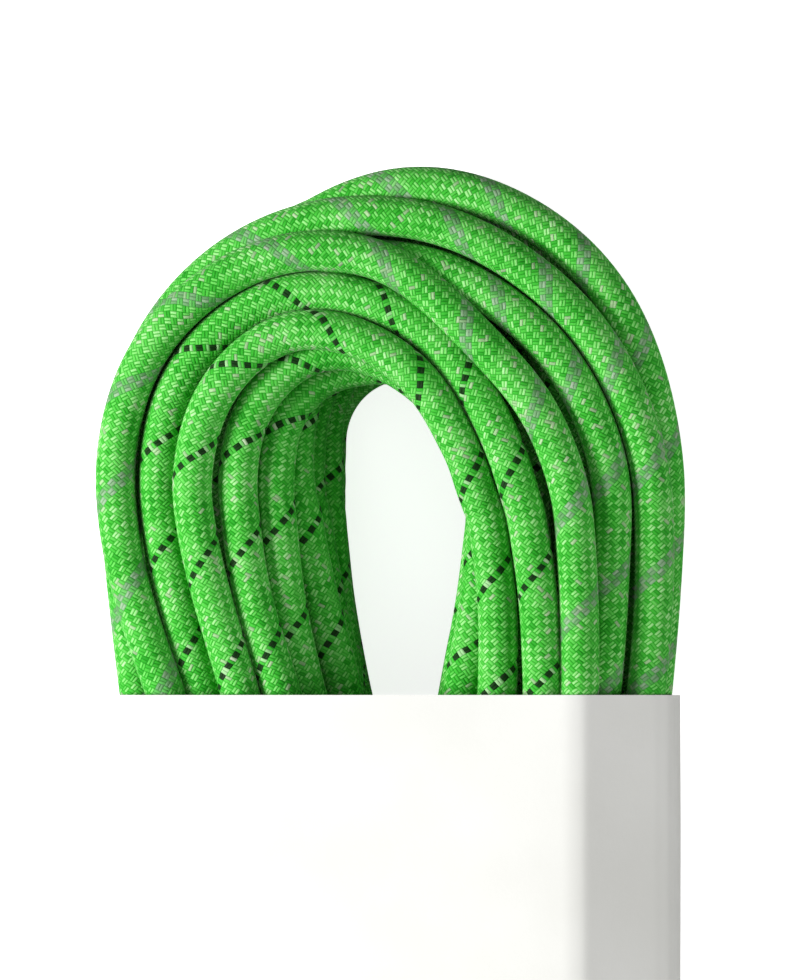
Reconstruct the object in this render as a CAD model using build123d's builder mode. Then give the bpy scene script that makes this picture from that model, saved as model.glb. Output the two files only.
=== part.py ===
from build123d import *
from math import cos, pi, radians, sin, tan
import os

os.makedirs("parts", exist_ok=True)

# A single dynamic climbing rope, wound into a hank that lies flat: +Y runs along the hank to
# its upper arch, +Z is up. Millimetres. The origin is the middle of the hank's footprint.

# ---------------------------------------------------------------- driving dimensions
rope_d = 10.0

hank_length = 460.0
hank_width = 147.0
hank_height = 70.0
shoulder_r = 17.0  # rounding of the bundle's upper edges
heel_r = 10.0  # rounding of the outer lower edge
waist_lift = 1.1  # the bundle's underside stands this far off the floor where the card is

arch_height = 132.3  # from the card band's upper edge to the top of the arch
band_height = 80.0
band_width = 138.6
band_shoulder_r = 15.5
band_heel_r = 9.0
card_t = 0.5
band_lift = 0.3  # the card's lowest face above the floor
flap_height = 22.0  # overlap where the card strip is closed, on the -X side
tape_length = 56.0
tape_width = 16.0
tape_t = 0.15

sheath_bore_d = 7.6
sheath_end_length = 50.0
core_strand_d = 1.65
outer_strands = 9
outer_ring_r = 2.78
inner_strands = 3
inner_ring_r = 1.15
marker_w = 0.42
marker_t = 0.12
core_recess = 0.2  # clear space between the strands and the fused tip
tip_t = 2.0
tip_round = 1.4

label_t = 0.1
label_length = 26.0
label_setback = 9.0
sleeve_inner_r = 5.16
sleeve_t = 0.44
sleeve_length = 40.0
sleeve_setback = 1.0  # from the end of the rope back to the sleeve's end
fit_gap = 0.02

# ---------------------------------------------------------------- places worked out
top_y = hank_length / 2
band_top_y = top_y - arch_height
band_bottom_y = band_top_y - band_height
waist_y = (band_top_y + band_bottom_y) / 2
half_w = hank_width / 2
tail_z = sleeve_inner_r + sleeve_t + 0.05  # the sleeves lie just clear of the floor
tail_start_y = -6.0  # flat upper end of the lower opening


def save(piece, name):
    piece.part.label = name
    export_step(piece.part, f"parts/{name}.step")


# ---------------------------------------------------------------- the wound turns, as one closed solid
# The outer line follows the two lobes and the waist that the band draws in.
widest_y = -95.0  # where the lower lobe is widest
outer_points = [
    (62.5, waist_y),
    (67.6, band_top_y),
    (72.2, band_top_y + 45),
    (60.0, top_y - 33),
    (8.0, top_y),
    (-36.5, top_y - 16),
    (-60.0, top_y - 38),
    (-72.2, band_top_y + 45),
    (-67.6, band_top_y),
    (-62.5, waist_y),
    (-67.6, band_bottom_y),
    (-half_w, widest_y),
    (-56.0, -192.0),
    (0.0, -hank_length / 2),
    (56.0, -192.0),
    (half_w, widest_y),
    (67.6, band_bottom_y),
]

# Upper opening: the eye of the arch, which closes as the legs come together under the band.
upper_eye_points = [
    (1.0, 66.0),
    (14.0, band_top_y),
    (22.0, band_top_y + 38),
    (17.5, band_top_y + 63),
    (0.0, band_top_y + 77),
    (-18.0, band_top_y + 63),
    (-21.0, band_top_y + 38),
    (-12.0, band_top_y),
]

# Lower opening: a flat upper end, where the two rope ends come out side by side.
lower_eye_half = 13.5
lower_eye_points = [
    (lower_eye_half, tail_start_y),
    (25.0, -60.0),
    (27.0, -120.0),
    (0.0, -174.0),
    (-27.0, -120.0),
    (-25.0, -60.0),
    (-lower_eye_half, tail_start_y),
]

with BuildPart() as rope_hank:
    with BuildSketch(Plane.XY):
        with BuildLine():
            Spline(*outer_points, periodic=True)
        make_face()
        with BuildLine():
            Spline(*upper_eye_points, periodic=True)
        make_face(mode=Mode.SUBTRACT)
        with BuildLine():
            Spline(*lower_eye_points)
            Line(lower_eye_points[-1], lower_eye_points[0])
        make_face(mode=Mode.SUBTRACT)
    extrude(amount=hank_height)
    top_rims = rope_hank.faces().sort_by(Axis.Z)[-1].edges()
    fillet(top_rims, radius=shoulder_r)
    heel = rope_hank.faces().sort_by(Axis.Z)[0].outer_wire().edges()
    fillet(heel, radius=heel_r)
    with BuildSketch(Plane.XY):
        with Locations((0, waist_y)):
            Rectangle(hank_width, band_height + 2 * waist_lift)
    extrude(amount=waist_lift, mode=Mode.SUBTRACT)
save(rope_hank, "rope_hank")


# ---------------------------------------------------------------- the two tails
# Each route leaves the bundle square to its flat face and ends where the rope's dressed end begins.
# Tail a comes out along the floor; tail b comes out halfway up and sinks to the floor.
tail_b_z = 27.0
tail_routes = {
    "a": [(-6.6, tail_start_y, tail_z), (-6.6, -24, tail_z), (-9.8, -42, tail_z), (-10.8, -60, tail_z),
          (-9.8, -76, tail_z)],
    "b": [(6.6, tail_start_y, tail_b_z), (6.6, -21, tail_b_z), (8.0, -39, 21.5), (9.6, -57, 13),
          (10.4, -75, tail_z), (10.0, -90, tail_z)],
}


def corner_radii(points):
    """Arcs as large as the runs allow, each taking up to 0.45 of the shorter run beside its corner."""
    radii = []
    for before, at, after in zip(points, points[1:], points[2:]):
        run_in, run_out = at - before, after - at
        half_turn = radians(run_in.get_angle(run_out)) / 2
        radii.append(0.45 * min(run_in.length, run_out.length) / tan(half_turn))
    return radii


ends = {}
for side, points in tail_routes.items():
    route = [Vector(*point) for point in points]
    radii = corner_radii(route)
    heading = (route[-1] - route[-2]).normalized()
    ends[side] = (route[-1], heading)

    with BuildPart() as tail_run:
        with BuildLine() as path:
            FilletPolyline(*route, radius=radii)
        with BuildSketch(Plane(route[0], z_dir=route[1] - route[0])):
            Circle(rope_d / 2)
        sweep()
    save(tail_run, f"tail_run_{side}")

    tube_volume = pi * (rope_d / 2) ** 2 * path.wires()[0].length
    print(f"tail {side}: length {path.wires()[0].length:.1f}, radii {[round(r) for r in radii]}, "
          f"volume / (section x length) {tail_run.part.volume / tube_volume:.4f}")


def end_plane(side, along=0.0):
    """A plane square to the rope's end, so far past the start of the dressed end, X level."""
    start, heading = ends[side]
    return Plane(start + heading * along, x_dir=heading.cross(Vector(0, 0, 1)), z_dir=heading)


# ---------------------------------------------------------------- the dressed rope ends
for side in ends:
    with BuildPart() as sheath_end:
        with BuildSketch(end_plane(side)):
            Circle(rope_d / 2)
            Circle(sheath_bore_d / 2, mode=Mode.SUBTRACT)
        extrude(amount=sheath_end_length)
    save(sheath_end, f"sheath_end_{side}")

    with BuildPart() as fused_tip:
        with BuildSketch(end_plane(side, sheath_end_length)):
            Circle(rope_d / 2)
        extrude(amount=tip_t)
        tip_rim = fused_tip.edges().filter_by(GeomType.CIRCLE).sort_by(
            lambda edge: (edge.center() - ends[side][0]).length)[-1]
        fillet(tip_rim, radius=tip_round)
    save(fused_tip, f"fused_tip_{side}")

    label_start = sheath_end_length - label_setback - label_length
    with BuildPart() as end_label:
        with BuildSketch(end_plane(side, label_start)):
            Circle(rope_d / 2 + fit_gap + label_t)
            Circle(rope_d / 2 + fit_gap, mode=Mode.SUBTRACT)
        extrude(amount=label_length)
    save(end_label, f"end_label_{side}")

    sleeve_start = sheath_end_length - sleeve_setback - sleeve_length
    with BuildPart() as end_sleeve:
        with BuildSketch(end_plane(side, sleeve_start)):
            Circle(sleeve_inner_r + sleeve_t)
            Circle(sleeve_inner_r, mode=Mode.SUBTRACT)
        extrude(amount=sleeve_length)
    save(end_sleeve, f"end_sleeve_{side}")


# ---------------------------------------------------------------- core strands and marker tape
# Nine strands lie against the sheath's bore and three inside them. Each node holds the same
# strand's two ends, one in each dressed end.
strand_places = [(outer_ring_r, 20 + 360 / outer_strands * n) for n in range(outer_strands)]
strand_places += [(inner_ring_r, 360 / inner_strands * n) for n in range(inner_strands)]
strand_length = sheath_end_length - core_recess

for number, (ring_r, angle) in enumerate(strand_places, start=1):
    place = (ring_r * cos(radians(angle)), ring_r * sin(radians(angle)))
    with BuildPart() as core_strand:
        for side in ends:
            with BuildSketch(end_plane(side)):
                with Locations(place):
                    Circle(core_strand_d / 2)
            extrude(amount=strand_length)
    save(core_strand, f"core_strand_{number:02d}")

with BuildPart() as marker_tape:
    for side in ends:
        with BuildSketch(end_plane(side)):
            Rectangle(marker_w, marker_t)
        extrude(amount=strand_length)
save(marker_tape, "marker_tape")


# ---------------------------------------------------------------- card band and its closing tape
# The card strip's outer end stops halfway up the -X side, and the tape holds it down there.
band_top_z = hank_height + 2 * band_lift + card_t
band_z_size = band_top_z - band_lift
band_mid_z = (band_top_z + band_lift) / 2
band_plane = Plane((0, band_top_y, band_mid_z), x_dir=(1, 0, 0), z_dir=(0, -1, 0))
flap_x = -band_width / 2 - card_t / 2

with BuildPart() as card_band:
    with BuildSketch(band_plane) as band_section:
        Rectangle(band_width, band_z_size)
        fillet(band_section.vertices().group_by(Axis.Y)[-1], radius=band_shoulder_r)
        fillet(band_section.vertices().group_by(Axis.Y)[0], radius=band_heel_r)
        offset(amount=-card_t, mode=Mode.SUBTRACT)
        with Locations((flap_x, -flap_height / 2)):
            Rectangle(card_t, flap_height)
    extrude(amount=band_height)
save(card_band, "card_band")

tape_x = -band_width / 2 - card_t - tape_t / 2
with BuildPart() as closing_tape:
    with BuildSketch(Plane((tape_x, waist_y, band_mid_z), x_dir=(0, 1, 0), z_dir=(1, 0, 0))):
        RectangleRounded(tape_length, tape_width, 1.0)
    extrude(amount=tape_t / 2, both=True)
save(closing_tape, "closing_tape")
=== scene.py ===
"""Looks of a dynamic climbing rope: 30 m of rope wound into a hank, with a card band round its waist."""
import math

import bmesh
import bpy
import numpy as np
from mathutils import Matrix, Vector
from mathutils.bvhtree import BVHTree


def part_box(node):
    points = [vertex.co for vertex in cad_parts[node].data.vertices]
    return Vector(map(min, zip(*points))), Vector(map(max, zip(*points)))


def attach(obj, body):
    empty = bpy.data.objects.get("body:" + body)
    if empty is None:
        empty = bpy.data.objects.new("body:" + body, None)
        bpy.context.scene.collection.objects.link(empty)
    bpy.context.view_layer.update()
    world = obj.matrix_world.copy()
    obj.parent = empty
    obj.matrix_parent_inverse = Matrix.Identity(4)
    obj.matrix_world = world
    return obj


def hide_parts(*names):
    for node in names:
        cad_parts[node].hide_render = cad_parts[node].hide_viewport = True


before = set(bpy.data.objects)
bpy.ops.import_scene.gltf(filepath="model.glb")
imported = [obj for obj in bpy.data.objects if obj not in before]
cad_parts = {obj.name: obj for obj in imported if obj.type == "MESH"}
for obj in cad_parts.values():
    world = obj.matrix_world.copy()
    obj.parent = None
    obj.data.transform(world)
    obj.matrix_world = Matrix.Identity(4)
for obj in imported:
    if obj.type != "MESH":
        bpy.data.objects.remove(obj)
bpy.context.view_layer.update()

# Lengths are millimetres until a Blender object is made from them.
MM = 0.001


def box_mm(node):
    """A CAD node's lowest and highest corners, in millimetres."""
    return [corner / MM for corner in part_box(node)]


def new_object(name, data):
    piece = bpy.data.objects.new(name, data)
    bpy.context.scene.collection.objects.link(piece)
    return piece


tail_low, tail_high = box_mm("tail_run_a")
_, hank_high = box_mm("rope_hank")
band_low, band_high = box_mm("card_band")

ROPE_D = tail_high.z - tail_low.z
ROPE_R = ROPE_D / 2
CUT_Y = band_high.y  # the card's upper edge, where the arch starts
WAIST_Y = (band_low.y + band_high.y) / 2
HANK_TOP_Z = hank_high.z - ROPE_R  # centre height of the highest turns
HALF_SIDE = hank_high.x - ROPE_R  # the furthest that a turn's centre goes sideways
WAIST_LIFT = 1.2  # the card under the bundle lifts the turns this far off the floor
LIFT_FADES = 25.0  # how far beyond the card they come down again

# ---------------------------------------------------------------- camera
TILT = math.radians(10)  # the view leans this far from straight down, towards +X
FOCUS_Z = 50.6  # height at which a millimetre is PX_PER_MM pixels
PX_PER_MM = 4.0
PICTURE_H = 980 / PX_PER_MM
SENSOR = 36.0
LENS = 600.0
AIM_X, AIM_UP = 2.25, 51.25  # the picture's middle, across the view and above the card's edge


def seen(across, up, z):
    """The point at height z that the camera sees so far across, and up from the card's edge."""
    x = (across + math.sin(TILT) * (z - FOCUS_Z)) / math.cos(TILT)
    return Vector((x, CUT_Y + up, z))


def make_camera():
    """A long lens in the plane of the card's upper edge, so that the edge is one straight line."""
    data = bpy.data.cameras.new("camera")
    data.lens = LENS
    data.sensor_width = SENSOR
    data.clip_end = 100
    camera = new_object("camera", data)
    distance = PICTURE_H * LENS / SENSOR
    aim = seen(AIM_X, AIM_UP, FOCUS_Z)
    lean = Vector((math.sin(TILT), 0, math.cos(TILT)))
    place = seen(AIM_X, 0, FOCUS_Z) + distance * lean
    back = (place - aim).normalized()
    right = Vector((0, 1, 0)).cross(back).normalized()
    turn = Matrix((right, back.cross(right), back)).transposed().to_4x4()
    camera.matrix_world = Matrix.Translation(place * MM) @ turn
    bpy.context.scene.camera = camera


make_camera()

# ---------------------------------------------------------------- the rope's route
# A turn runs up the left leg, over the arch, down the right leg and round the lower lobe. Its
# stations lie on spokes that fan out from a pivot at each lobe and are level along the legs.
UPPER_PIVOT_UP = 45.0  # above the card's edge
UPPER_PIVOT_Y = CUT_Y + UPPER_PIVOT_UP
LOWER_PIVOT_Y = -125.0
LEG_STEPS, ARCH_STEPS, LOWER_LEG_STEPS, LOWER_ARCH_STEPS = 9, 24, 11, 18
UPPER_STEPS = 2 * LEG_STEPS + ARCH_STEPS
TURNS = 33

# Where the innermost and outermost turns run: (place, inner, outer), from the pivot or middle line.
# Upper legs are placed by height above the card's edge, the upper arch by degrees round its pivot
# from the left, lower legs by Y, and the lower arch by degrees from its nearer end.
UPPER_LEFT = [(-40, 1.5, 57.5), (0, 9.7, 62.9), (23, 14, 66.2), (45, 16.3, 68.3)]
UPPER_RIGHT = [(-40, 8.5, 57.5), (0, 16.7, 64.5), (23, 21.2, 67), (45, 23.8, 68.3)]
UPPER_ARCH = [(0, 16.3, 68.3), (15, 17, 70), (30, 18.8, 72.5), (45, 23, 75.2), (55, 28.3, 76),
              (68, 35.8, 76.4), (81, 40.8, 78.6), (95, 43.2, 82.1), (109, 42.6, 83), (123, 39.2, 81.2),
              (136, 33, 78), (150, 27.4, 73.5), (165, 24.6, 69.8), (180, 23.8, 68.3)]
LOWER_LEG = [(-125, 32, 67), (-95, 31.5, 68.3), (-60, 30, 67.2), (-6, 18.5, 63.4), (20, 10, 60.5),
             (58, 5.5, 57.5)]
LOWER_ARCH = [(0, 32, 67), (25, 33.7, 73), (50, 39, 82.3), (70, 45, 92.5), (80, 47.4, 97.4),
              (90, 48.3, 99.5)]


def smooth_step(x, low, high):
    t = np.clip((x - low) / (high - low), 0, 1)
    return t * t * (3 - 2 * t)


class Stations:
    """The places along one turn, as arrays: pivot, spoke, lean, inner and outer guide, lowest height."""

    def __init__(self):
        self.rows = []
        self.progress = []
        self.upper_legs_and_arch()
        self.lower_lobe()
        names = ("pivot_y", "spoke_x", "spoke_y", "lean", "inner", "outer")
        for name, column in zip(names, np.array(self.rows, float).T):
            setattr(self, name, column)
        beyond = np.maximum(band_low.y - self.pivot_y, self.pivot_y - band_high.y)
        self.lowest = ROPE_R + WAIST_LIFT * (1 - smooth_step(beyond, 0, LIFT_FADES))
        self.count = len(self.rows)

    def add(self, pivot_y, degrees, lean, inner, outer, progress=None):
        angle = math.radians(degrees)
        self.rows.append((pivot_y, -math.cos(angle), math.sin(angle), lean, inner, outer))
        self.progress.append(progress)

    def upper_legs_and_arch(self):
        leg_ys = np.linspace(WAIST_Y, UPPER_PIVOT_Y, LEG_STEPS, endpoint=False)
        for y in leg_ys:
            self.add(y, 0, lean_at(y), *guides(UPPER_LEFT, y - CUT_Y), upper_progress(y, 0))
        for degrees in np.linspace(0, 180, ARCH_STEPS, endpoint=False):
            self.add(UPPER_PIVOT_Y, degrees, 1, *guides(UPPER_ARCH, degrees), degrees / 180)
        for y in UPPER_PIVOT_Y - (leg_ys - WAIST_Y):
            self.add(y, 180, lean_at(y), *guides(UPPER_RIGHT, y - CUT_Y), upper_progress(y, 180))

    def lower_lobe(self):
        leg_ys = np.linspace(WAIST_Y, LOWER_PIVOT_Y, LOWER_LEG_STEPS, endpoint=False)
        for y in leg_ys:
            self.add(y, 180, lean_at(y), *guides(LOWER_LEG, y))
        for degrees in np.linspace(0, 180, LOWER_ARCH_STEPS, endpoint=False):
            folded = min(degrees, 180 - degrees)
            self.add(LOWER_PIVOT_Y, 180 + degrees, 0, *guides(LOWER_ARCH, folded))
        for y in LOWER_PIVOT_Y - (leg_ys - WAIST_Y):
            self.add(y, 0, lean_at(y), *guides(LOWER_LEG, y))


def guides(table, place):
    """The inner and outer distances at a place between a guide table's rows."""
    places, inner, outer = zip(*table)
    return np.interp(place, places, inner), np.interp(place, places, outer)


def lean_at(y):
    """1 where the arch shows and 0 in the lower lobe: how far the stack of turns leans."""
    return float(np.interp(y, (band_low.y, band_high.y), (0, 1)))


def upper_progress(y, side):
    """Where a point of an upper leg lies along the arch: below 0 on the left, over 1 on the right.

    The card's edge is at -1 and 2.
    """
    below = (UPPER_PIVOT_Y - y) / UPPER_PIVOT_UP
    return 1 + below if side == 180 else -below


# The turns that show, by turn number: centre heights at HEIGHT_PLACES along the arch, then points
# along it as the camera sees them, across and up from the card's edge.
HEIGHT_PLACES = (-1, 0, 0.25, 0.5, 0.75, 1, 2)
ARCH_TURNS = {
    7: ((33, 33, 38, 49, 49, 36, 34), [
        (5, 120.5), (21.5, 117.5), (33.2, 111), (44.8, 102), (54.2, 89.4), (60.4, 75.2), (62.4, 60),
        (60.5, 45), (59.5, 24), (59, 0)]),
    8: ((41, 41, 44, 57.5, 56.5, 44, 44), [
        (-63, 0), (-65.5, 24), (-67, 45), (-65, 66), (-60, 80), (-50, 96), (-37, 107.5),
        (-22, 116.5), (-6.8, 126), (8.2, 128.2), (20.2, 125.8), (33.5, 119.6), (46.9, 110),
        (57.2, 96.5), (63.1, 80.7), (67.2, 61.6), (68.5, 45), (67.5, 22.6), (65.2, 0)]),
    9: ((51, 51, 54, 61.5, 61, 54, 54), [
        (-63, 0), (-64.5, 11), (-65.8, 24), (-67.5, 36), (-67.8, 50), (-66.9, 65), (-64.2, 78.2),
        (-58.2, 91.5), (-49, 102.6), (-37.1, 112), (-17.5, 119.2), (0.5, 119.5), (9.4, 118.3),
        (24.2, 112.4), (34.6, 104.9), (45, 96.2), (53.8, 84.2), (60.2, 71.2), (64.2, 57.8),
        (65.6, 42.2), (66, 24), (64.8, 11), (63.5, 0)]),
    10: ((64, 61.5, 63, 65, 65, 64.5, 64), [
        (-55.8, 0), (-60.2, 11), (-65, 24), (-67.6, 36), (-68.6, 45), (-68.6, 61.2), (-65.7, 75.4),
        (-60.5, 87.4), (-51.8, 97.1), (-40.8, 105), (-29.5, 110.4), (-12.8, 111), (0, 108.2),
        (7.2, 102.8), (13.5, 96), (18.2, 91.2), (25.2, 84.2), (31.2, 78.2), (40.8, 61),
        (46, 42.3), (47, 24), (47, 11), (47, 0)]),
    11: ((48, 48, 50, 61, 62, 58, 58), [
        (8.1, 107.3), (18.9, 102.8), (28.8, 96.3), (38.2, 88.8), (45.3, 78.6), (50.7, 67.3),
        (54.2, 56.6), (55, 42.3), (54.2, 24), (53.5, 11), (52.2, 0)]),
    21: ((60, 60, 60.5, 62, 63, 65, 65), [
        (-46.5, 0), (-50.2, 11), (-54, 24), (-56.5, 36), (-57.8, 45), (-57.5, 59), (-56, 72),
        (-51, 82.5), (-43, 91), (-33.2, 98.2), (-23.2, 101.5), (-13.2, 100.5), (0, 96.2),
        (9.2, 90.8), (15.2, 84), (23.5, 70.2), (29.8, 55.8), (32.8, 45), (35.8, 36), (37, 24),
        (37.5, 11), (37.9, 0)]),
    22: ((64, 64.5, 65, 65, 63, 61, 62), [
        (-37.2, 0), (-40.5, 11), (-44.9, 24), (-47.9, 36), (-49.8, 45), (-49, 58), (-46.2, 71.5),
        (-40.8, 80.2), (-33.8, 86.8), (-26, 91.2), (-17.8, 92.5), (-7.2, 87.8), (-2, 85.8),
        (3.2, 82.6), (7.2, 77.9), (14.7, 65.6), (20.2, 52.7), (24.6, 39.5), (27, 26.2),
        (26.8, 11), (26.5, 0)]),
    23: ((61, 60.5, 59, 56, 53, 52, 58), [
        (-26.6, 0), (-30.8, 11), (-35.2, 24), (-37.2, 36), (-37.8, 45), (-37.8, 57.2),
        (-36, 68.8), (-33.2, 73.8), (-29.2, 79.2), (-23.8, 83.8), (-17.8, 86.2), (-10.2, 86.8),
        (0, 82.5), (10.5, 74.6), (19, 62.5), (23.1, 50.2), (24.1, 36.2), (22.1, 24), (19.9, 11),
        (17.4, 0)]),
    24: ((56, 55, 52, 47, 44, 41, 41), [
        (-20.9, 0), (-24.2, 11), (-26.8, 24), (-28, 36), (-28.4, 45), (-28.4, 57.2), (-28, 63.8),
        (-26.5, 70), (-22.8, 76), (-17.2, 80.2), (-9.8, 82), (0, 82.7)]),
    30: ((28, 29, 26, 22, 17, 12, 12), [
        (-10, 0), (-12.5, 11), (-14.2, 19), (-15.2, 26), (-15.8, 34), (-16, 45), (-16, 56),
        (-16.4, 66), (-16.2, 71), (-15.4, 78), (-11.5, 82), (-7, 87.5), (0, 90)]),
    31: ((37, 38.5, 35, 30, 26, 21.5, 21), [
        (-10.8, 0), (-13.4, 11), (-17.5, 29), (-19.2, 39), (-20.5, 48), (-20.8, 60),
        (-19.8, 71), (-19, 75), (-16.5, 81.5), (-9, 88), (0, 90.5)]),
    32: ((46, 48, 44, 39, 35, 31, 31), [
        (-11.4, 0), (-14.2, 11), (-17.6, 21), (-20.8, 36), (-22.8, 49), (-23.6, 63),
        (-23.2, 69), (-22, 76), (-18.5, 83), (-11, 88), (0, 91)]),
}


LAST_COLUMN, LAST_ROW = 4, 6  # counted from 0; column 0 is innermost and row 0 lowest


def slots():
    """Each turn's (column, row) in the left leg and in the right one.

    The turns fill the left leg column by column, with a last one on top of the third and fourth.
    Over the arch the uppermost ones slide inwards, and push the innermost column down the right
    leg's inner side.
    """
    left = [(column, 0) for column in range(LAST_COLUMN + 1)]
    left += [(LAST_COLUMN, row) for row in range(1, LAST_ROW + 1)]
    left += [(3, row) for row in range(5, 0, -1)] + [(2, row) for row in range(1, 6)]
    left += [(3, LAST_ROW), (2, LAST_ROW)] + [(1, row) for row in range(LAST_ROW, 0, -1)]
    left += [(0, row) for row in range(1, 5)]
    right = dict(enumerate(left))
    right.update({10: (2.4, 6), 21: (1, 6), 11: (3.1, 5.4), 22: (0, 5.8), 23: (0, 4.7), 24: (0, 3.7),
                  32: (0, 2.7), 31: (0, 1.7), 30: (0, 0.7), 29: (0.4, 0), 0: (1, 0), 1: (1.5, 0.8)})
    return np.array(left, float), np.array([right[turn] for turn in range(TURNS)], float)


ROW_STEP = (HANK_TOP_Z - ROPE_R) / LAST_ROW
OVER_MARGIN, UNDER_MARGIN = 4, 7  # stations at each end of an arch where turns keep their slots
FAN_OUT = 4.0  # how much the turns differ in the lower lobe, where nothing ties them


def lattice(st):
    """Where each turn would lie at each station in a bundle of straight rows and columns."""
    left, right = slots()
    steps = np.arange(st.count)
    over = smooth_step(steps, LEG_STEPS + OVER_MARGIN, LEG_STEPS + ARCH_STEPS - OVER_MARGIN)
    under = smooth_step(steps, UPPER_STEPS + UNDER_MARGIN, st.count - UNDER_MARGIN)
    following = np.roll(left, -1, axis=0)
    place = np.where(
        (steps < UPPER_STEPS)[None, :, None],
        left[:, None] * (1 - over[None, :, None]) + right[:, None] * over[None, :, None],
        right[:, None] * (1 - under[None, :, None]) + following[:, None] * under[None, :, None])
    across = st.inner + (st.outer - st.inner) * place[..., 0] / LAST_COLUMN
    height = ROPE_R + ROW_STEP * place[..., 1]
    fanned = np.sin(np.pi * np.clip((steps - UPPER_STEPS) / (st.count - UPPER_STEPS), 0, 1)) ** 2
    rng = np.random.default_rng(7)
    across += fanned * rng.uniform(-FAN_OUT, FAN_OUT, (TURNS, 1))
    height += fanned * rng.uniform(-FAN_OUT / 2, FAN_OUT / 2, (TURNS, 1))
    return across, np.clip(height, ROPE_R, HANK_TOP_Z)


def along_arch(points):
    """Listed points as (progress, distance from the spokes' pivot)."""
    rows = []
    for across, up in points:
        above = up - UPPER_PIVOT_UP
        if above <= 0:
            rows.append((upper_progress(CUT_Y + up, 0 if across < 0 else 180), abs(across)))
        else:
            rows.append((1 - math.atan2(above, across) / math.pi, math.hypot(across, above)))
    return np.array(rows).T


RUN_ON = 0.25  # in arch lengths, how far a line runs on past its ends
RUN_ON_SLOPE = 0.6  # the share of its end's slope that it keeps there
HAND_BACK = 0.85  # in arch lengths, how far past its line a turn takes to get back to the lattice


def run_on(places, distances):
    """The line with one more point past each end."""
    first, last = np.diff(distances)[[0, -1]] / np.diff(places)[[0, -1]] * RUN_ON * RUN_ON_SLOPE
    return (np.concatenate([[places[0] - RUN_ON], places, [places[-1] + RUN_ON]]),
            np.concatenate([[distances[0] - first], distances, [distances[-1] + last]]))


def smoothed(values, first, last, rounds=2):
    """The values between first and last, each drawn towards the mean of its neighbours."""
    values = values.copy()
    for _ in range(rounds):
        middle = values[first + 1:last]
        values[first + 1:last] = middle / 2 + (values[first:last - 1] + values[first + 2:last + 1]) / 4
    return values


def pin_arch(st, across, height):
    """Puts the turns that show on their own lines, and says which points those are.

    Past the ends of its line, a turn goes back to its place in the lattice little by little.
    """
    pinned = np.zeros(across.shape, bool)
    arch = [k for k in range(st.count) if st.progress[k] is not None]
    progress = np.array([st.progress[k] for k in arch])
    for turn, (heights, points) in ARCH_TURNS.items():
        places, distances = run_on(*along_arch(points))
        shown = (progress >= places[0]) & (progress <= places[-1])
        past = np.maximum(np.maximum(places[0] - progress, progress - places[-1]), 0)
        kept = np.clip(1 - past / HAND_BACK, 0, 1)
        first, last = np.flatnonzero(shown)[[0, -1]]
        nearest = np.clip(np.arange(len(arch)), first, last)
        for values, wanted in ((across, np.interp(progress, places, distances)),
                               (height, np.interp(progress, HEIGHT_PLACES, heights))):
            line = smoothed(wanted, first, last)
            moved = line[nearest] - values[turn, arch][nearest]
            values[turn, arch] += np.where(shown, line - values[turn, arch], kept * moved)
        pinned[turn, np.array(arch)[shown]] = True
    return pinned


PUSH_APART = 0.35  # the share of an overlap, and of a bend, that one round takes away
PINNED_GIVE = (0.04, 0.3)  # the share of a push that a pinned point follows, across and up
HOLD_PINNED, HOLD_FREE = 0.3, 0.01  # the share of its way back to its own line in one round
SHOWN_PROGRESS = (-1.1, 2.1)  # the part of a turn that the camera sees
UNDER_TOP = 9.5  # there, how far turns that aren't pinned stay below the highest ones
LEG_SPOKE = 0.99  # a spoke that goes further along X than this share of it belongs to a leg


def settle(st, across, height, pinned, active, rounds=400):
    """Pushes turns that are less than a diameter apart away from each other, and smooths their lines."""
    lean = math.sin(TILT) * st.lean * st.spoke_x
    shrink = 1 - st.lean * (1 - math.cos(TILT))
    scale = st.spoke_x ** 2 / shrink + st.spoke_y ** 2
    lean = lean / shrink
    side = across * scale + lean * (height - FOCUS_Z)
    target = np.stack([side, height])
    place = target.copy()
    free = PUSH_APART * np.where(pinned, np.array(PINNED_GIVE)[:, None, None], 1.0) * active
    hold = np.where(pinned, HOLD_PINNED, HOLD_FREE)
    first, last = SHOWN_PROGRESS
    shown = np.array([p is not None and first < p < last for p in st.progress])
    furthest = np.where(abs(st.spoke_x) > LEG_SPOKE, HALF_SIDE, np.inf)
    ceiling = np.where(shown[None, :] & ~pinned, HANK_TOP_Z - UNDER_TOP, HANK_TOP_Z)
    both = (active[:, None] & active[None, :]) & ~np.eye(TURNS, dtype=bool)[..., None]
    for _ in range(rounds):
        apart = place[:, :, None] - place[:, None, :]
        distance = np.sqrt((apart ** 2).sum(0)) + 1e-6
        push = np.where(both, np.clip(ROPE_D * 1.01 - distance, 0, None), 0) / distance
        place += free * (apart * push).sum(2)
        strayed = (place - target).reshape(2, -1)
        bend = (np.roll(strayed, 1, 1) + np.roll(strayed, -1, 1)) / 2 - strayed
        place += free * bend.reshape(place.shape)
        place += hold * (target - place) * active
        height_now = np.clip(place[1], st.lowest, ceiling)
        across_now = (place[0] - lean * (height_now - FOCUS_Z)) / scale
        across_now = np.where(pinned, across_now, np.clip(across_now, st.inner, st.outer))
        side_now = across_now * scale + lean * (height_now - FOCUS_Z)
        side_now = np.where(pinned, side_now, np.minimum(side_now, furthest))
        place = np.stack([side_now, height_now])
    return (place[0] - lean * (place[1] - FOCUS_Z)) / scale, place[1]


LEAST_BEND = 2.2 * ROPE_D  # the tightest radius that a turn is meant to lie in


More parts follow.
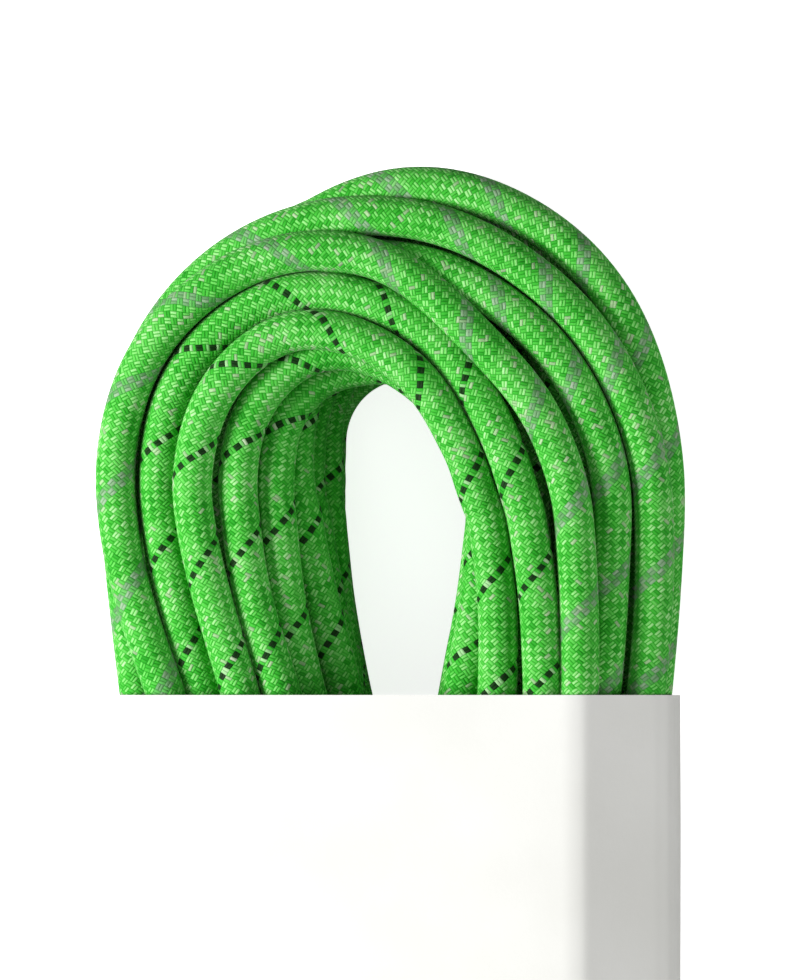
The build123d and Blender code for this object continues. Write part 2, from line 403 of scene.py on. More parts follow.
def ease_bends(points, rounds=80):
    """Draws each point of the turns in too tight a bend towards the middle of its neighbours."""
    points = points.copy()
    for _ in range(rounds):
        before, here, after = points[:-2], points[1:-1], points[2:]
        gaps = (here - before, after - here, after - before)
        sides = [np.linalg.norm(gap, axis=1) for gap in gaps]
        doubled_area = np.linalg.norm(np.cross(gaps[0], gaps[1]), axis=1)
        radius = np.prod(sides, axis=0) / (2 * doubled_area + 1e-6)
        tight = np.clip(1 - radius / LEAST_BEND, 0, 1)[:, None]
        points[1:-1] += tight * ((before + after) / 2 - here) / 2
    return points


def to_points(st, across, height):
    """Stations' distances and heights as points of the model."""
    lean = math.sin(TILT) * st.lean * (height - FOCUS_Z)
    x = (across * st.spoke_x + lean) / (1 - st.lean * (1 - math.cos(TILT)))
    return np.stack([np.broadcast_to(x, across.shape), st.pivot_y + across * st.spoke_y, height], -1)


# The two tails, and how long a stretch of rope is dressed past each.
TAIL_A = [(-6.6, -6, 5.65), (-6.6, -24, 5.65), (-9.8, -42, 5.65), (-10.8, -60, 5.65),
          (-9.8, -76, 5.65)]
TAIL_B = [(6.6, -6, 27), (6.6, -21, 27), (8.0, -39, 21.5), (9.6, -57, 13), (10.4, -75, 5.65),
          (10.0, -90, 5.65)]
DRESSED_END = 50.0
TAIL_START_Y = TAIL_A[0][1]


def end_of(tail):
    """A tail's last point, and the direction it runs on in."""
    last, before = Vector(tail[-1]), Vector(tail[-2])
    return last, (last - before).normalized()


def dressed_end(tail):
    """The straight stretch past a tail, as two more points."""
    last, heading = end_of(tail)
    return [last + heading * DRESSED_END / 2, last + heading * DRESSED_END]


def rope_route():
    """The whole rope's points, from the tip of tail a to the tip of tail b."""
    st = Stations()
    across, height = lattice(st)
    pinned = pin_arch(st, across, height)
    active = np.ones(across.shape, bool)
    leg_y = st.pivot_y[UPPER_STEPS:UPPER_STEPS + LOWER_LEG_STEPS]
    inside = int((leg_y > TAIL_START_Y).sum())
    last = TURNS - 1
    tail_b = np.arange(UPPER_STEPS, UPPER_STEPS + inside)
    tail_a = np.arange(st.count - inside + 1, st.count)
    active[last, tail_b[-1] + 1:tail_a[0]] = False
    for stretch, (x, _, z) in ((tail_a, TAIL_A[0]), (tail_b, TAIL_B[0])):
        across[last, stretch] = abs(x)
        height[last, stretch] = z
        pinned[last, stretch] = True
    across, height = settle(st, across, height, pinned, active)
    points = to_points(st, across, height)
    lead_in = points[last, tail_a]
    turns = points[:last].reshape(-1, 3)
    final = points[last, :UPPER_STEPS + inside]
    start = [*dressed_end(TAIL_A)[::-1], *TAIL_A[::-1]]
    end = [*TAIL_B, *dressed_end(TAIL_B)]
    return np.vstack([start, ease_bends(np.vstack([lead_in, turns, final])), end])


# ---------------------------------------------------------------- the rope
def spline_points(control, per_point):
    """Points along one open NURBS spline, as Blender itself works them out."""
    curve = bpy.data.curves.new("route", "CURVE")
    curve.dimensions = "3D"
    curve.resolution_u = per_point
    spline = curve.splines.new("NURBS")
    spline.points.add(len(control) - 1)
    for point, place in zip(spline.points, control):
        point.co = (*(place * MM), 1)
    spline.order_u = 3
    spline.use_endpoint_u = True
    holder = bpy.data.objects.new("route", curve)
    mesh = bpy.data.meshes.new_from_object(holder)
    line = np.array([vertex.co for vertex in mesh.vertices])
    bpy.data.objects.remove(holder)
    bpy.data.meshes.remove(mesh)
    bpy.data.curves.remove(curve)
    return line


def ring_frames(line):
    """Each point's tangent, level side direction and the direction square to both."""
    tangent = np.gradient(line, axis=0)
    tangent /= np.linalg.norm(tangent, axis=1)[:, None]
    level = np.cross(tangent, (0, 0, 1))
    level /= np.linalg.norm(level, axis=1)[:, None]
    return tangent, level, np.cross(tangent, level)


def mesh_of(name, points, faces):
    """A smooth mesh from point and face lists, each face an array of point numbers."""
    mesh = bpy.data.meshes.new(name)
    sizes = np.array([len(face) for face in faces])
    corners = np.concatenate(faces)
    mesh.vertices.add(len(points))
    mesh.vertices.foreach_set("co", np.asarray(points, np.float32).ravel())
    mesh.loops.add(len(corners))
    mesh.loops.foreach_set("vertex_index", corners.astype(np.int32))
    mesh.polygons.add(len(faces))
    mesh.polygons.foreach_set("loop_start", (np.cumsum(sizes) - sizes).astype(np.int32))
    mesh.update(calc_edges=True)
    mesh.validate()
    mesh.polygons.foreach_set("use_smooth", np.ones(len(faces), bool))
    return mesh


def skin(name, points, sides, closed=False):
    """A piece over rings of points, with a flat face at each end unless it closes on itself."""
    here = np.arange(sides)
    there = (here + 1) % sides
    low = np.arange(0, len(points) if closed else len(points) - sides, sides)[:, None]
    high = (low + sides) % len(points)
    quads = np.stack([low + here, low + there, high + there, high + here], -1)
    faces = list(quads.reshape(-1, 4))
    if not closed:
        faces += [here[::-1], len(points) - sides + here]
    return new_object(name, mesh_of(name, points, faces))


def add_uv(mesh, name, quad_uv):
    """A UV layer that holds quad_uv on the mesh's first quads and zero on its other faces."""
    layer = mesh.uv_layers.new(name=name)
    uv = np.zeros((len(mesh.loops), 2), np.float32)
    uv[:quad_uv.size // 2] = quad_uv.reshape(-1, 2)
    layer.data.foreach_set("uv", uv.ravel())


def quad_corners(along, around):
    """UVs of a tube's quads from its rings' and its sides' places, shaped (ring, side, corner, 2)."""
    low, high = along[:-1, None], along[1:, None]
    near, far = around[None, :-1], around[None, 1:]
    shape = np.broadcast_shapes(low.shape, near.shape)
    sides = [np.broadcast_to(value, shape) for value in (near, far, far, near)]
    ends = [np.broadcast_to(value, shape) for value in (low, low, high, high)]
    return np.stack([np.stack(sides, -1), np.stack(ends, -1)], -1)


def tube(name, line, radius, sides):
    """A closed tube round a line. Its UV map "lay" is the way round in turns, and metres along."""
    _, level, square = ring_frames(line)
    angles = np.arange(sides) * 2 * math.pi / sides
    level_part, square_part = np.cos(angles)[None, :, None], np.sin(angles)[None, :, None]
    ring = level_part * level[:, None] + square_part * square[:, None]
    piece = skin(name, (line[:, None] + radius * ring).reshape(-1, 3), sides)
    lengths = np.concatenate([[0], np.cumsum(np.linalg.norm(np.diff(line, axis=0), axis=1))])
    add_uv(piece.data, "lay", quad_corners(lengths, np.arange(sides + 1) / sides))
    return piece


STRIPS = 46  # stretches that the rope's texture holds side by side
SMALLEST_SHARE = 0.05  # of a shown side's width in that texture, for a side that nothing sees
RINGS_PER_CELL = 12
SIGHT = 0.3  # metres that are clear in front of a side that shows


def shown_sides(rope, line, sides):
    """1 for each side of the tube that shows from outside and 0 for others, for every few rings."""
    _, level, square = ring_frames(line)
    tree = BVHTree.FromPolygons(
        [vertex.co for vertex in rope.data.vertices], [face.vertices for face in rope.data.polygons])
    rings = np.arange(RINGS_PER_CELL // 2, len(line), RINGS_PER_CELL)
    openness = np.zeros((len(rings), sides))
    for cell, ring in enumerate(rings):
        for side in range(sides):
            angle = (side + 0.5) * 2 * math.pi / sides
            outward = Vector(math.cos(angle) * level[ring] + math.sin(angle) * square[ring])
            start = Vector(line[ring]) + outward * (ROPE_R + 0.3) * MM
            looks = [outward, outward + Vector((0.1, 0, 1)), outward - Vector((0, 0, 0.8))]
            clear = [tree.ray_cast(start, look.normalized(), SIGHT)[0] is None for look in looks]
            openness[cell, side] = any(clear)
    return openness


def add_bake_map(rope, line, sides):
    """A second UV map, which keeps most of a square texture for the sides of the rope that show."""
    openness = shown_sides(rope, line, sides)
    count = len(line) - 1
    per_strip = math.ceil(count / STRIPS)
    widths = np.empty((STRIPS, sides))
    for strip in range(STRIPS):
        first, after = (number * per_strip // RINGS_PER_CELL for number in (strip, strip + 1))
        widths[strip] = np.maximum(openness[first:after].mean(0), SMALLEST_SHARE)
    edges = np.concatenate([[0], np.cumsum(widths.ravel())]) / widths.sum()
    uv = np.empty((count, sides, 4, 2))
    for strip in range(STRIPS):
        rings = np.arange(strip * per_strip, min((strip + 1) * per_strip, count))
        around = edges[strip * sides:(strip + 1) * sides + 1]
        uv[rings] = quad_corners(np.arange(len(rings) + 1) / per_strip, around)
    add_uv(rope.data, "OFBake", uv)


# ---------------------------------------------------------------- pieces made of rings and strips
SHARP = math.radians(40)  # edges that turn by more than this are shaded as edges


def turned(name, start, axis, profile, sides, lump):
    """A closed round piece about a rope's end, from (along, radius) and lump(along, angle) on top.

    A profile that comes back to its first point is a ring, and any other gets a flat face at
    each end.
    """
    side = Vector((axis[1], -axis[0], 0)).normalized()
    square = axis.cross(side)
    ring_shaped = profile[0] == profile[-1]
    points = []
    for along, radius in profile[:-1] if ring_shaped else profile:
        for angle in np.arange(sides) * 2 * math.pi / sides:
            out = radius + lump(along, angle)
            direction = side * math.cos(angle) + square * math.sin(angle)
            points.append((start + axis * along + direction * out) * MM)
    piece = skin(name, points, sides, closed=ring_shaped)
    piece.data.set_sharp_from_angle(angle=SHARP)
    return piece


def slab(name, inner, outer):
    """A closed thin piece between two grids of points, shaped (row, column, 3), in millimetres."""
    rows, columns = inner.shape[:2]
    points = np.concatenate([inner.reshape(-1, 3), outer.reshape(-1, 3)]) * MM
    number = np.arange(rows * columns).reshape(rows, columns)
    quads = np.stack([number[:-1, :-1], number[1:, :-1], number[1:, 1:], number[:-1, 1:]], -1)
    quads = quads.reshape(-1, 4)
    far = rows * columns
    rim = np.concatenate([number[0, :], number[1:, -1], number[-1, -2::-1], number[-2:0:-1, 0]])
    after = np.roll(rim, -1)
    edge = np.stack([rim, after, after + far, rim + far], -1)
    faces = [*quads, *(quads[:, ::-1] + far), *edge[:, ::-1]]
    piece = new_object(name, mesh_of(name, points, faces))
    mesh = bmesh.new()
    mesh.from_mesh(piece.data)
    bmesh.ops.recalc_face_normals(mesh, faces=mesh.faces)
    mesh.to_mesh(piece.data)
    mesh.free()
    piece.data.polygons.foreach_set("use_smooth", np.ones(len(piece.data.polygons), bool))
    piece.data.set_sharp_from_angle(angle=SHARP)
    return piece


# ---------------------------------------------------------------- the card band and its tape
CARD_T = 0.5
CARD_GAP = 0.25  # between the rope and the card
LAYER_GAP = 0.05  # between the card's two layers
RIPPLE = 0.12
FLAP = 22.0  # how far the card's outer end overlaps its inner one
CARD_STEP = 1.0
CARD_COLUMNS = 17
TAPE_T = 0.15
TAPE_GAP = 0.02  # between the card and the tape
TAPE_ROWS, TAPE_COLUMNS = 33, 29
AHEAD = 0.6  # how far each side of a point its direction is measured


class Girth:
    """The closed outline, seen along Y, of a band pulled round the turns at the waist."""

    def __init__(self, line):
        places = line / MM
        waist = places[(places[:, 1] > band_low.y) & (places[:, 1] < CUT_Y)][:, [0, 2]]
        angles = np.radians(np.arange(180, -180, -2))
        outward = np.stack([np.cos(angles), np.sin(angles)], -1)
        furthest = waist[np.argmax(waist @ outward.T, axis=0)]
        self.points = furthest + (ROPE_R + CARD_GAP) * outward
        steps = np.linalg.norm(np.diff(self.points, axis=0, append=self.points[:1]), axis=1)
        self.lengths = np.concatenate([[0], np.cumsum(steps)[:-1]])
        self.length = steps.sum()
        side = np.arange(-len(angles) // 4, len(angles) // 4)  # upwards on the -X side
        along_side = self.lengths[side] - np.where(side < 0, self.length, 0)
        middle_z = (band_low.z + band_high.z) / 2
        self.seam = float(np.interp(middle_z, self.points[side, 1], along_side))

    def at(self, along, proud):
        """Points so far along from the seam, upwards on the -X side first, and so far outside it."""
        place = self.seam + along
        ahead = self.between(place + AHEAD) - self.between(place - AHEAD)
        outward = np.stack([-ahead[:, 1], ahead[:, 0]], -1) / np.linalg.norm(ahead, axis=1)[:, None]
        return self.between(place) + outward * proud[:, None]

    def between(self, place):
        """The outline's points at places measured from its first one."""
        return np.stack([np.interp(place, self.lengths, column, period=self.length)
                         for column in self.points.T], -1)


def strip(girth, along, proud, ys):
    """A grid of points: each row goes round the girth, and each column along Y."""
    grids = []
    for column, y in enumerate(ys):
        flat = girth.at(along, proud[:, column])
        grids.append(np.stack([flat[:, 0], np.full(len(along), y), flat[:, 1]], -1))
    return np.stack(grids, 1)


def make_card(girth):
    """One strip of card, once round and a flap more, lifted a little between the turns under it."""
    along = np.arange(-FLAP, girth.length + CARD_STEP / 2, CARD_STEP)
    along[-1] = girth.length
    ys = np.linspace(band_low.y, CUT_Y, CARD_COLUMNS)
    flap_start = girth.length - FLAP
    lifted = smooth_step(along, flap_start - 9, flap_start - 2) * (CARD_T + LAYER_GAP)
    # Slow waves of unlike lengths, so that the ripple doesn't repeat.
    ripple = np.sin(along[:, None] / 17 + 1.3 * np.sin(ys / 23))
    ripple *= np.sin(along[:, None] / 41 + ys / 37)
    away_from_seam = smooth_step(np.minimum(along + FLAP, girth.length - along), 18, 40)
    proud = lifted[:, None] + RIPPLE * (1 + ripple) * away_from_seam[:, None]
    inner, outer = (strip(girth, along, proud + face, ys) for face in (0, CARD_T))
    return slab("card_wrap", inner, outer)


def make_tape(girth):
    """A film over the flap's free edge, which dips beside the edge's step."""
    low, high = box_mm("closing_tape")
    reach = (high.z - low.z) / 2
    along = np.linspace(-reach, reach, TAPE_ROWS)
    ys = np.linspace(low.y, high.y, TAPE_COLUMNS)
    on_flap = 1 - smooth_step(along, 0.1, 1.1)
    proud = CARD_T + TAPE_GAP + on_flap * (CARD_T + LAYER_GAP)
    proud = np.repeat(proud[:, None], len(ys), 1)
    inner, outer = (strip(girth, along, proud + face, ys) for face in (0, TAPE_T))
    return slab("tape_film", inner, outer)


# ---------------------------------------------------------------- the rope's dressed ends
END_SIDES = 48
TIP_LENGTH = 2.0
TIP_LUMP = 0.07
SLEEVE_ENDS = (9.0, 49.0)  # along the dressed end, as are the label's
LABEL_ENDS = (15.0, 41.0)
SLEEVE_T = 0.44
SLEEVE_GAP = 0.04  # between the rope and the sleeve
LABEL_BULGE = 0.12  # how much further out the sleeve is over the label
SLEEVE_LUMP = 0.012


def lumps(seed, size):
    """A smooth uneven function of a place along and round a piece."""
    rng = np.random.default_rng(seed)
    waves = [(rng.uniform(0.1, 0.9), rng.integers(1, 7), rng.uniform(0, 6.3)) for _ in range(7)]

    def height(along, angle):
        total = sum(math.sin(pace * along + turns * angle + phase) for pace, turns, phase in waves)
        return size * total / 3
    return height


def end_pieces(side, tail, seed):
    """The melted tip and the shrunk sleeve of one end of the rope."""
    start, axis = end_of(tail)
    end = start + axis * DRESSED_END
    rim = [(0.0, ROPE_R - 0.4), (0.0, ROPE_R - 0.1)]
    crown = [(TIP_LENGTH * math.sin(turn), ROPE_R * math.cos(turn) ** 0.45)
             for turn in np.radians(np.linspace(0, 84, 15))]
    tip = turned(f"melted_tip_{side}", end, axis, rim + crown, END_SIDES, lumps(seed, TIP_LUMP))
    alongs = np.linspace(*SLEEVE_ENDS, 41)
    over_label = smooth_step(alongs, LABEL_ENDS[0] - 3, LABEL_ENDS[0] - 0.5)
    over_label *= 1 - smooth_step(alongs, LABEL_ENDS[1] + 0.5, LABEL_ENDS[1] + 3)
    bore = ROPE_R + SLEEVE_GAP + LABEL_BULGE * over_label
    outside = list(zip(alongs, bore + SLEEVE_T))
    inside = list(zip(alongs[::-1], bore[::-1]))
    sleeve = turned(f"clear_sleeve_{side}", start, axis, [*outside, *inside, outside[0]], END_SIDES,
                    lumps(seed + 1, SLEEVE_LUMP))
    return tip, sleeve


# ---------------------------------------------------------------- materials
def colour(red, green, blue):
    """A linear colour from the 0 to 255 values of a colour chart."""
    return tuple((value / 255) ** 2.2 for value in (red, green, blue)) + (1.0,)


class Graph:
    """A material's nodes, put together by calls that take and give sockets or plain values."""

    def __init__(self, name, **settings):
        self.material = bpy.data.materials.new(name)
        self.material.use_nodes = True
        self.tree = self.material.node_tree
        self.shader = self.tree.nodes["Principled BSDF"]
        for setting, value in settings.items():
            socket = setting.replace("_", " ").title().replace("Ior", "IOR")
            self.shader.inputs[socket].default_value = value

    def feed(self, socket, value):
        """Links a socket to the input, or sets it to a plain value."""
        if isinstance(value, bpy.types.NodeSocket):
            self.tree.links.new(value, socket)
        elif value is not None:
            socket.default_value = value

    def node(self, kind, *values, output=0, **settings):
        """An output of a new node, whose first inputs are fed with the values."""
        node = self.tree.nodes.new("ShaderNode" + kind)
        for setting, value in settings.items():
            setattr(node, setting, value)
        for socket, value in zip(node.inputs, values):
            self.feed(socket, value)
        return node.outputs[output]

    def math(self, operation, *values):
        return self.node("Math", *values, operation=operation)

    def plus(self, first, second):
        return self.math("ADD", first, second)

    def minus(self, first, second):
        return self.math("SUBTRACT", first, second)

    def times(self, first, second):
        return self.math("MULTIPLY", first, second)

    def hump(self, part):
        """0 at both ends of a part from 0 to 1, and 1 in its middle."""
        return self.times(self.times(part, self.minus(1.0, part)), 4.0)

    def fade(self, value, low, high, out_low=0.0, out_high=1.0):
        return self.node("MapRange", value, low, high, out_low, out_high,
                         interpolation_type="SMOOTHSTEP")

    def mix(self, factor, first, second):
        """Two colours blended."""
        node = self.tree.nodes.new("ShaderNodeMix")
        node.data_type = "RGBA"
        for index, value in ((0, factor), (6, first), (7, second)):
            self.feed(node.inputs[index], value)
        return node.outputs[2]

    def pick(self, factor, first, second):
        """Two numbers blended."""
        return self.plus(first, self.times(factor, self.minus(second, first)))

    def place(self):
        """Where a point of the piece is, in metres."""
        return self.node("TexCoord", output=3)

    def noise(self, vector, scale, detail=2.0):
        return self.node("TexNoise", vector, None, scale, detail)

    def chance(self, *values):
        """A random number from 0 to 1 for each set of whole numbers."""
        return self.node("TexWhiteNoise", self.node("CombineXYZ", *values))

    def ramp(self, value, *stops):
        """A colour ramp through (place, colour) stops."""
        node = self.tree.nodes.new("ShaderNodeValToRGB")
        self.feed(node.inputs[0], value)
        for extra in stops[2:]:
            node.color_ramp.elements.new(extra[0])
        for element, (where, shade) in zip(node.color_ramp.elements, stops):
            element.position = where
            element.color = shade
        return node.outputs[0]

    def set(self, name, value):
        self.feed(self.shader.inputs[name], value)

    def bump(self, height, distance, strength=1.0):
        self.set("Normal", self.node("Bump", strength, distance, None, height))


CARRIERS = 12  # of each hand
LAY_LENGTH = 0.0265  # how far along the rope a carrier takes to go once round
TRACERS_DARK, TRACERS_PALE = 1, 2  # carriers side by side that make up the tracer in each half
STRAY = 0.5  # in carriers, how far a yarn wanders off its line


class Weave:
    """The sheath's pattern at a point, as sockets of a graph.

    It says which carrier is on top and which stretch of it, how far across and down that stretch
    the point lies, and how high the yarn stands there.
    """

    def __init__(self, g, place, around, along):
        stray = g.times(g.minus(g.noise(place, 210.0), 0.5), STRAY)
        turns = g.math("DIVIDE", along, LAY_LENGTH)
        left_lay = g.plus(g.times(g.plus(around, turns), CARRIERS), stray)
        right_lay = g.minus(g.times(g.minus(around, turns), CARRIERS), stray)
        left_cell, right_cell = g.math("FLOOR", left_lay), g.math("FLOOR", right_lay)
        left_part, right_part = g.math("FRACT", left_lay), g.math("FRACT", right_lay)
        self.right_over = g.math("FLOORED_MODULO", g.plus(left_cell, right_cell), 2.0)
        self.left_over = g.minus(1.0, self.right_over)
        self.across = g.pick(self.right_over, left_part, right_part)
        self.down = g.pick(self.right_over, right_part, left_part)

        # Each carrier is two yarns, round across and dipping at both ends of the stretch.
        two = g.times(self.across, 2.0)
        yarn = g.math("FLOOR", two)
        self.swell = g.hump(g.math("FRACT", two))
        self.crown = g.hump(self.down)
        self.height = g.times(g.math("POWER", self.swell, 0.55),
                              g.pick(0.62, 1.0, g.math("POWER", self.crown, 0.6)))

        self.left_carrier = g.math("FLOORED_MODULO", left_cell, float(CARRIERS))
        self.right_carrier = g.math("FLOORED_MODULO", right_cell, float(CARRIERS))
        self.carrier = g.pick(self.right_over, self.left_carrier, self.right_carrier)
        self.row = g.minus(left_cell, right_cell)
        self.strand = g.plus(yarn, g.times(self.right_over, 2.0))
        self.of_cell = g.chance(self.row, self.left_carrier, self.strand)


def green_yarns(g, weave, place):
    """The mixed greens, with a few faded stretches and a painted highlight along the top of each yarn.
    """
    of_yarn = g.chance(weave.carrier, weave.strand, 3.0)
    patches = g.noise(place, 95.0, 3.0)
    # Painted highlight: the top of each yarn is made paler and its sides stay green, as light would
    # catch a round yarn's crown; it is stronger on the right-hand yarns.
    painted_crown_highlight = g.times(g.fade(weave.swell, 0.3, 0.85), g.fade(weave.crown, 0.02, 0.42))
    tone = g.plus(g.times(weave.of_cell, 0.22), g.times(of_yarn, 0.16))
    tone = g.plus(tone, g.times(painted_crown_highlight, g.pick(weave.right_over, 0.08, 0.3)))
    tone = g.plus(tone, g.times(weave.right_over, 0.04))
    tone = g.plus(tone, g.times(g.minus(patches, 0.5), 0.45))
    greens = g.ramp(tone, (0.05, colour(38, 148, 34)), (0.22, colour(64, 178, 54)),
                    (0.4, colour(98, 200, 84)), (0.58, colour(138, 216, 120)),
                    (0.76, colour(174, 230, 158)), (0.95, colour(206, 240, 196)))
    drawn = g.chance(weave.left_carrier, weave.row, g.plus(weave.strand, 9.0))
    faded = g.math("GREATER_THAN", drawn, 0.965)
    return g.mix(g.times(faded, 0.4), greens, colour(206, 190, 186))


def with_tracer(g, weave, yarns, second_half):
    """The yarns with the tracer among them: a dash where it is on top, and a hint where it is under."""
    marked = g.pick(second_half, float(TRACERS_PALE), float(TRACERS_DARK))
    beside = g.math("LESS_THAN", weave.right_carrier, marked)
    hint = g.pick(second_half, 0.3, g.fade(weave.of_cell, 0.5, 0.9, 0.0, 0.35))
    hint_colour = g.mix(second_half, colour(118, 146, 116), colour(232, 230, 216))
    yarns = g.mix(g.times(g.times(weave.left_over, beside), hint), yarns, hint_colour)
    pale = g.ramp(weave.of_cell, (0.0, colour(96, 128, 96)), (1.0, colour(150, 162, 150)))
    dash_colour = g.mix(second_half, pale, colour(9, 15, 10))
    strength = g.times(g.times(weave.right_over, beside), g.pick(second_half, 0.72, 0.96))
    return g.mix(strength, yarns, dash_colour)


def braid_material(rope_length):
    """Two hands of paired yarns over and under each other, with a tracer that changes at mid length."""
    g = Graph("braided_sheath", roughness=0.62, sheen_weight=0.14, sheen_roughness=0.35,
              sheen_tint=colour(220, 255, 206), specular_ior_level=0.1)
    lay = g.tree.nodes.new("ShaderNodeSeparateXYZ")
    g.feed(lay.inputs[0], g.node("UVMap", uv_map="lay"))
    around, along, _ = lay.outputs
    place = g.place()
    weave = Weave(g, place, around, along)
    second_half = g.math("GREATER_THAN", along, rope_length / 2)
    shade = with_tracer(g, weave, green_yarns(g, weave, place), second_half)

    fibre_place = g.node("CombineXYZ", g.times(weave.across, 16.0), g.times(weave.down, 1.3),
                         g.times(weave.of_cell, 50.0))
    fibres = g.noise(fibre_place, 1.0)
    shade = g.mix(g.fade(fibres, 0.35, 0.7, 0.0, 0.16), shade, colour(18, 116, 20))
    # Painted shade: the colour darkens to deep green where the yarns dip, in the gaps between yarns and
    # at both ends of each stretch.
    shade = g.mix(g.fade(weave.height, 0.0, 0.5, 0.45, 0.0), shade, colour(4, 70, 6))
    g.set("Base Color", shade)
    g.set("Roughness", g.fade(fibres, 0.2, 0.8, 0.55, 0.75))
    g.bump(g.plus(weave.height, g.times(fibres, 0.16)), 0.0002)
    return g.material


def card_material():
    g = Graph("white_card", roughness=0.6, specular_ior_level=0.4)
    place = g.place()
    fibres = g.noise(place, 900.0, 4.0)
    clouds = g.noise(place, 30.0, 3.0)
    g.set("Base Color", g.ramp(clouds, (0.3, colour(222, 222, 217)), (0.7, colour(229, 229, 225))))
    g.set("Roughness", g.fade(fibres, 0.3, 0.7, 0.52, 0.68))
    g.bump(g.plus(fibres, g.times(clouds, 2.0)), 0.00006, 0.5)
    return g.material


def film_material(name, alpha, tint):
    """A clear plastic film with a wavy, glossy face."""
    g = Graph(name, alpha=alpha, coat_weight=0.6, coat_roughness=0.06, specular_ior_level=0.7)
    waves = g.noise(g.place(), 160.0)
    lighter = (min(value + 8, 255) for value in tint)
    g.set("Base Color", g.ramp(waves, (0.3, colour(*tint)), (0.7, colour(*lighter))))
    g.set("Roughness", g.fade(waves, 0.3, 0.7, 0.1, 0.2))
    g.bump(waves, 0.0002, 0.4)
    return g.material


def melted_material():
    g = Graph("melted_nylon", roughness=0.35, coat_weight=0.2, coat_roughness=0.2)
    place = g.place()
    swirl = g.noise(place, 420.0, 5.0)
    pits = g.noise(place, 1500.0)
    g.set("Base Color", g.ramp(swirl, (0.25, colour(8, 44, 12)), (0.5, colour(22, 88, 26)),
                               (0.75, colour(86, 120, 70))))
    g.set("Roughness", g.fade(swirl, 0.3, 0.7, 0.25, 0.5))
    g.bump(g.plus(swirl, g.times(pits, 0.4)), 0.0004)
    return g.material


def label_material():
    g = Graph("blank_label", roughness=0.5)
    fibres = g.noise(g.place(), 1400.0, 3.0)
    g.set("Base Color", g.ramp(fibres, (0.3, colour(228, 229, 226)), (0.7, colour(243, 243, 240))))
    g.set("Roughness", g.fade(fibres, 0.3, 0.7, 0.42, 0.6))
    g.bump(fibres, 0.00004, 0.5)
    return g.material


def yarn_material(name, dark, light, pitch):
    """Plain twisted or woven yarn: fine slanting ridges, a pitch apart in metres."""
    g = Graph(name, roughness=0.7, sheen_weight=0.2)
    ridges = g.node("TexWave", g.place(), 0.16 / pitch, 1.5, 2.0, bands_direction="DIAGONAL")
    g.set("Base Color", g.ramp(ridges, (0.1, colour(*dark)), (0.8, colour(*light))))
    g.set("Roughness", g.fade(ridges, 0.0, 1.0, 0.8, 0.6))
    g.bump(ridges, pitch / 5)
    return g.material


def dress(piece, material):
    piece.data.materials.clear()
    piece.data.materials.append(material)


def dress_nodes(names, material):
    for name in names:
        dress(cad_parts[name], material)


# ---------------------------------------------------------------- floor, light and colour
FLOOR_HALF = 6.0
FLOOR_DROP = 0.0002  # below the object, so that the two faces don't flicker
FLOOR_GLOW = 0.8  # added where the floor is seen, so that it looks white under the shadow too
WORLD_LIGHT, WORLD_LOOK = 0.19, 1.0  # how bright the world is as a light and as a backdrop


def make_floor():
    mesh = bpy.data.meshes.new("floor")
    grid = bmesh.new()
    bmesh.ops.create_grid(grid, x_segments=2, y_segments=2, size=FLOOR_HALF)
    grid.to_mesh(mesh)
    grid.free()
    floor = new_object("floor", mesh)
    floor.location.z = -FLOOR_DROP
    g = Graph("pale_floor", roughness=0.9, emission_color=(1, 1, 1, 1))
    tint = g.noise(g.place(), 6.0)
    g.set("Base Color", g.ramp(tint, (0.3, colour(243, 243, 242)), (0.7, colour(247, 247, 246))))
    g.set("Emission Strength", g.times(g.node("LightPath"), FLOOR_GLOW))
    dress(floor, g.material)
    floor.visible_diffuse = False  # so that the lamps alone light the rope's sides


def lamp(name, place, target, size, energy):
    """A soft square lamp that shines on a target and doesn't show itself."""
    data = bpy.data.lights.new(name, "AREA")
    data.size = size
    data.energy = energy
    light = new_object(name, data)
    light.location = place
    light.rotation_mode = "QUATERNION"
    light.rotation_quaternion = (Vector(place) - Vector(target)).to_track_quat("Z", "Y")
    light.visible_camera = False


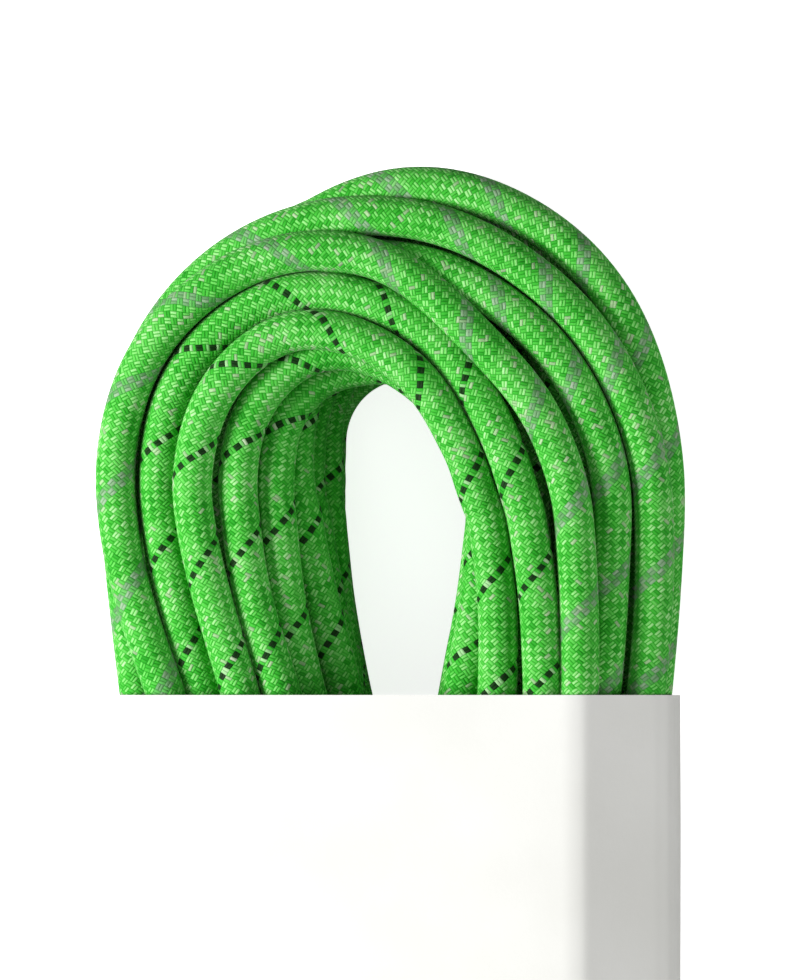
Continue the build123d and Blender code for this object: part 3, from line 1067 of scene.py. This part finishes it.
def make_lights():
    arch = (0, 0.14, 0.03)
    lamp("key", (-1.06, 0.06, 0.86), arch, 0.45, 27)
    lamp("fill", (1.4, -0.35, 0.5), arch, 0.8, 11)
    lamp("top", (0.1, 0, 1.5), arch, 1.0, 3)
    world = bpy.data.worlds.new("studio")
    world.use_nodes = True
    nodes, links = world.node_tree.nodes, world.node_tree.links
    sky = nodes["Background"].inputs
    sky["Color"].default_value = (1, 1, 1, 1)
    brightness = nodes.new("ShaderNodeMapRange")
    brightness.inputs["To Min"].default_value = WORLD_LIGHT
    brightness.inputs["To Max"].default_value = WORLD_LOOK
    links.new(nodes.new("ShaderNodeLightPath").outputs["Is Camera Ray"], brightness.inputs["Value"])
    links.new(brightness.outputs["Result"], sky["Strength"])
    bpy.context.scene.world = world
    bpy.context.scene.view_settings.view_transform = "Standard"


# ---------------------------------------------------------------- the object
ROPE_SIDES = 20
POINTS_PER_STEP = 4  # of the rope's line, from each point of its route to the next
line = spline_points(rope_route(), POINTS_PER_STEP)
rope_length = float(np.linalg.norm(np.diff(line, axis=0), axis=1).sum())
rope = tube("rope", line, ROPE_R * MM, ROPE_SIDES)
add_bake_map(rope, line, ROPE_SIDES)
dress(rope, braid_material(rope_length))

girth = Girth(line)
card = make_card(girth)
dress(card, card_material())
tape = make_tape(girth)
dress(tape, film_material("clear_tape", 0.5, (206, 210, 198)))

clear_sleeve = film_material("clear_shrink_sleeve", 0.22, (232, 240, 240))
melted = melted_material()
ends = {"a": end_pieces("a", TAIL_A, 11), "b": end_pieces("b", TAIL_B, 23)}
for tip, sleeve in ends.values():
    dress(tip, melted)
    dress(sleeve, clear_sleeve)

strand_names = [name for name in sorted(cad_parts) if name.startswith("core_strand")]
label_names = ["end_label_a", "end_label_b"]
dress_nodes(strand_names, yarn_material("white_core_yarn", (196, 194, 188), (238, 237, 232), 0.0011))
dress_nodes(["marker_tape"], yarn_material("woven_marker_tape", (150, 40, 36), (214, 66, 58), 0.0004))
dress_nodes(label_names, label_material())

make_floor()
make_lights()

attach(rope, "root")
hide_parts("rope_hank", "tail_run_a", "tail_run_b", "sheath_end_a", "sheath_end_b")
for piece, slot, node in ((card, "card", "card_band"), (tape, "clear_tape", "closing_tape")):
    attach(piece, "root")
    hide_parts(node)
for side, (tip, sleeve) in ends.items():
    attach(tip, "root")
    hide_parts(f"fused_tip_{side}")
    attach(sleeve, "root")
    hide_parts(f"end_sleeve_{side}")

on_rope = [piece for pair in ends.values() for piece in pair]
on_rope += [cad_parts[name] for name in (*label_names, *strand_names, "marker_tape")]
